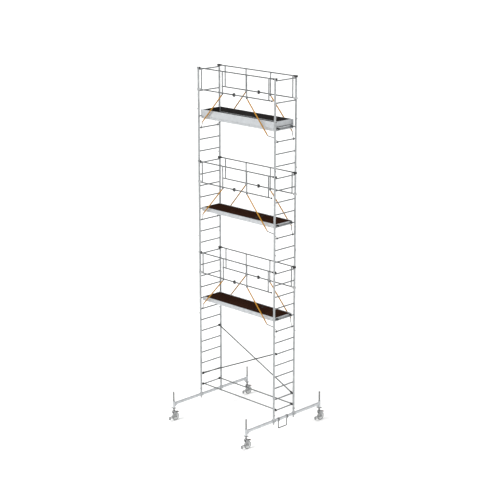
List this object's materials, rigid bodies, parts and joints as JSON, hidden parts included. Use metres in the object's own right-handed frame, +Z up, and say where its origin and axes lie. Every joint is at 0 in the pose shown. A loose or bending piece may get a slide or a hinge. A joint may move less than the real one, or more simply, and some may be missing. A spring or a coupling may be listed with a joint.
{
  "type": "mobile tower scaffold",
  "caption": "Narrow aluminium mobile tower scaffold with stacked ladder frames, guarded plywood platforms, folding struts and base beams on spindle castors.",
  "frame": {"origin": "centre of the footprint on the floor, under the middle of the tower", "axes": "+X along the platforms towards the hatch end, +Y along the base beams towards the back, +Z up"},
  "size_m": [2.6054, 2.812, 8.571],
  "materials": {
    "aluminium_tube": "satin",
    "aluminium_beam": "satin",
    "toe_board_aluminium": "satin",
    "zinc_steel": "satin",
    "castor_steel": "satin",
    "wheel_polyamide": "matte",
    "brake_pedal": "matte",
    "deck_plywood": "satin",
    "strut_yellow": "gloss",
    "claw_plastic": "matte",
    "grey_plastic": "matte"
  },
  "bodies": {
    "tower": {"base_beam_left": "aluminium_beam", "base_beam_right": "aluminium_beam", "ladder_stack_left": "aluminium_tube", "ladder_stack_right": "aluminium_tube", "platform_frame_lower": "aluminium_beam", "platform_frame_middle": "aluminium_beam", "platform_frame_top": "aluminium_beam", "platform_deck_lower": "deck_plywood", "platform_deck_middle": "deck_plywood", "platform_deck_top": "deck_plywood", "guard_frame_lower": "aluminium_tube", "guard_frame_middle": "aluminium_tube", "guard_frame_top": "aluminium_tube", "frame_clamps": "zinc_steel", "clamp_screws": "zinc_steel", "access_step": "zinc_steel", "step_couplers": "zinc_steel", "frame_spigots": "aluminium_tube", "spring_pins": "zinc_steel", "end_guard_left": "aluminium_tube", "end_guard_right": "aluminium_tube", "tube_caps": "grey_plastic", "horizontal_braces": "aluminium_tube", "diagonal_braces": "aluminium_tube", "brace_claws": "claw_plastic", "platform_hooks": "claw_plastic", "toe_boards": "toe_board_aluminium", "hatch_hinges": "zinc_steel", "guard_claws": "claw_plastic", "rail_knobs": "claw_plastic", "strut_rests": "claw_plastic", "folding_struts": "strut_yellow", "strut_brackets": "zinc_steel", "strut_hooks": "zinc_steel"},
    "spindle_front_left_body": {"spindle_front_left": "zinc_steel"},
    "nut_front_left_body": {"spindle_nut_front_left": "zinc_steel"},
    "castor_front_left_body": {"castor_fork_front_left": "castor_steel"},
    "wheel_front_left_body": {"castor_wheel_front_left": "wheel_polyamide"},
    "pedal_front_left_body": {"brake_pedal_front_left": "brake_pedal"},
    "spindle_front_right_body": {"spindle_front_right": "zinc_steel"},
    "nut_front_right_body": {"spindle_nut_front_right": "zinc_steel"},
    "castor_front_right_body": {"castor_fork_front_right": "castor_steel"},
    "wheel_front_right_body": {"castor_wheel_front_right": "wheel_polyamide"},
    "pedal_front_right_body": {"brake_pedal_front_right": "brake_pedal"},
    "spindle_back_left_body": {"spindle_back_left": "zinc_steel"},
    "nut_back_left_body": {"spindle_nut_back_left": "zinc_steel"},
    "castor_back_left_body": {"castor_fork_back_left": "castor_steel"},
    "wheel_back_left_body": {"castor_wheel_back_left": "wheel_polyamide"},
    "pedal_back_left_body": {"brake_pedal_back_left": "brake_pedal"},
    "spindle_back_right_body": {"spindle_back_right": "zinc_steel"},
    "nut_back_right_body": {"spindle_nut_back_right": "zinc_steel"},
    "castor_back_right_body": {"castor_fork_back_right": "castor_steel"},
    "wheel_back_right_body": {"castor_wheel_back_right": "wheel_polyamide"},
    "pedal_back_right_body": {"brake_pedal_back_right": "brake_pedal"},
    "hatch_lower_body": {"hatch_lid_lower": "deck_plywood"},
    "hatch_middle_body": {"hatch_lid_middle": "deck_plywood"},
    "hatch_top_body": {"hatch_lid_top": "deck_plywood"}
  },
  "joints": [
    {"name": "spindle_front_left_height", "type": "slide", "parent": "tower", "child": "spindle_front_left_body", "axis": [0, 0, 1], "range_m": [-0.2, 0]},
    {"name": "nut_front_left_turn", "type": "hinge", "parent": "tower", "child": "nut_front_left_body", "pos_m": [-1.245, -1.26, 0.327], "axis": [0, 0, 1], "continuous": true},
    {"name": "castor_front_left_swivel", "type": "hinge", "parent": "spindle_front_left_body", "child": "castor_front_left_body", "pos_m": [-1.245, -1.26, 0.246], "axis": [0, 0, 1], "continuous": true},
    {"name": "wheel_front_left_roll", "type": "hinge", "parent": "castor_front_left_body", "child": "wheel_front_left_body", "pos_m": [-1.245, -1.214, 0.1], "axis": [1, 0, 0], "continuous": true},
    {"name": "pedal_front_left_press", "type": "hinge", "parent": "castor_front_left_body", "child": "pedal_front_left_body", "pos_m": [-1.245, -1.242, 0.22], "axis": [1, 0, 0], "range_deg": [0, 16]},
    {"name": "spindle_front_right_height", "type": "slide", "parent": "tower", "child": "spindle_front_right_body", "axis": [0, 0, 1], "range_m": [-0.2, 0]},
    {"name": "nut_front_right_turn", "type": "hinge", "parent": "tower", "child": "nut_front_right_body", "pos_m": [1.245, -1.26, 0.327], "axis": [0, 0, 1], "continuous": true},
    {"name": "castor_front_right_swivel", "type": "hinge", "parent": "spindle_front_right_body", "child": "castor_front_right_body", "pos_m": [1.245, -1.26, 0.246], "axis": [0, 0, 1], "continuous": true},
    {"name": "wheel_front_right_roll", "type": "hinge", "parent": "castor_front_right_body", "child": "wheel_front_right_body", "pos_m": [1.245, -1.214, 0.1], "axis": [1, 0, 0], "continuous": true},
    {"name": "pedal_front_right_press", "type": "hinge", "parent": "castor_front_right_body", "child": "pedal_front_right_body", "pos_m": [1.245, -1.242, 0.22], "axis": [1, 0, 0], "range_deg": [0, 16]},
    {"name": "spindle_back_left_height", "type": "slide", "parent": "tower", "child": "spindle_back_left_body", "axis": [0, 0, 1], "range_m": [-0.2, 0]},
    {"name": "nut_back_left_turn", "type": "hinge", "parent": "tower", "child": "nut_back_left_body", "pos_m": [-1.245, 1.26, 0.327], "axis": [0, 0, 1], "continuous": true},
    {"name": "castor_back_left_swivel", "type": "hinge", "parent": "spindle_back_left_body", "child": "castor_back_left_body", "pos_m": [-1.245, 1.26, 0.246], "axis": [0, 0, 1], "continuous": true},
    {"name": "wheel_back_left_roll", "type": "hinge", "parent": "castor_back_left_body", "child": "wheel_back_left_body", "pos_m": [-1.245, 1.306, 0.1], "axis": [1, 0, 0], "continuous": true},
    {"name": "pedal_back_left_press", "type": "hinge", "parent": "castor_back_left_body", "child": "pedal_back_left_body", "pos_m": [-1.245, 1.278, 0.22], "axis": [1, 0, 0], "range_deg": [0, 16]},
    {"name": "spindle_back_right_height", "type": "slide", "parent": "tower", "child": "spindle_back_right_body", "axis": [0, 0, 1], "range_m": [-0.2, 0]},
    {"name": "nut_back_right_turn", "type": "hinge", "parent": "tower", "child": "nut_back_right_body", "pos_m": [1.245, 1.26, 0.327], "axis": [0, 0, 1], "continuous": true},
    {"name": "castor_back_right_swivel", "type": "hinge", "parent": "spindle_back_right_body", "child": "castor_back_right_body", "pos_m": [1.245, 1.26, 0.246], "axis": [0, 0, 1], "continuous": true},
    {"name": "wheel_back_right_roll", "type": "hinge", "parent": "castor_back_right_body", "child": "wheel_back_right_body", "pos_m": [1.245, 1.306, 0.1], "axis": [1, 0, 0], "continuous": true},
    {"name": "pedal_back_right_press", "type": "hinge", "parent": "castor_back_right_body", "child": "pedal_back_right_body", "pos_m": [1.245, 1.278, 0.22], "axis": [1, 0, 0], "range_deg": [0, 16]},
    {"name": "hatch_lower_hinge", "type": "hinge", "parent": "tower", "child": "hatch_lower_body", "pos_m": [0.4022, 0, 2.9698], "axis": [0, -1, 0], "range_deg": [0, 95]},
    {"name": "hatch_middle_hinge", "type": "hinge", "parent": "tower", "child": "hatch_middle_body", "pos_m": [0.4022, 0, 5.2098], "axis": [0, -1, 0], "range_deg": [0, 95]},
    {"name": "hatch_top_hinge", "type": "hinge", "parent": "tower", "child": "hatch_top_body", "pos_m": [0.4022, 0, 7.4498], "axis": [0, -1, 0], "range_deg": [0, 95]}
  ],
  "couplings": [
    {"joint": "nut_front_left_turn", "follows": "spindle_front_left_height", "rad_per_m": 785.4},
    {"joint": "nut_front_right_turn", "follows": "spindle_front_right_height", "rad_per_m": 785.4},
    {"joint": "nut_back_left_turn", "follows": "spindle_back_left_height", "rad_per_m": 785.4},
    {"joint": "nut_back_right_turn", "follows": "spindle_back_right_height", "rad_per_m": 785.4}
  ]
}
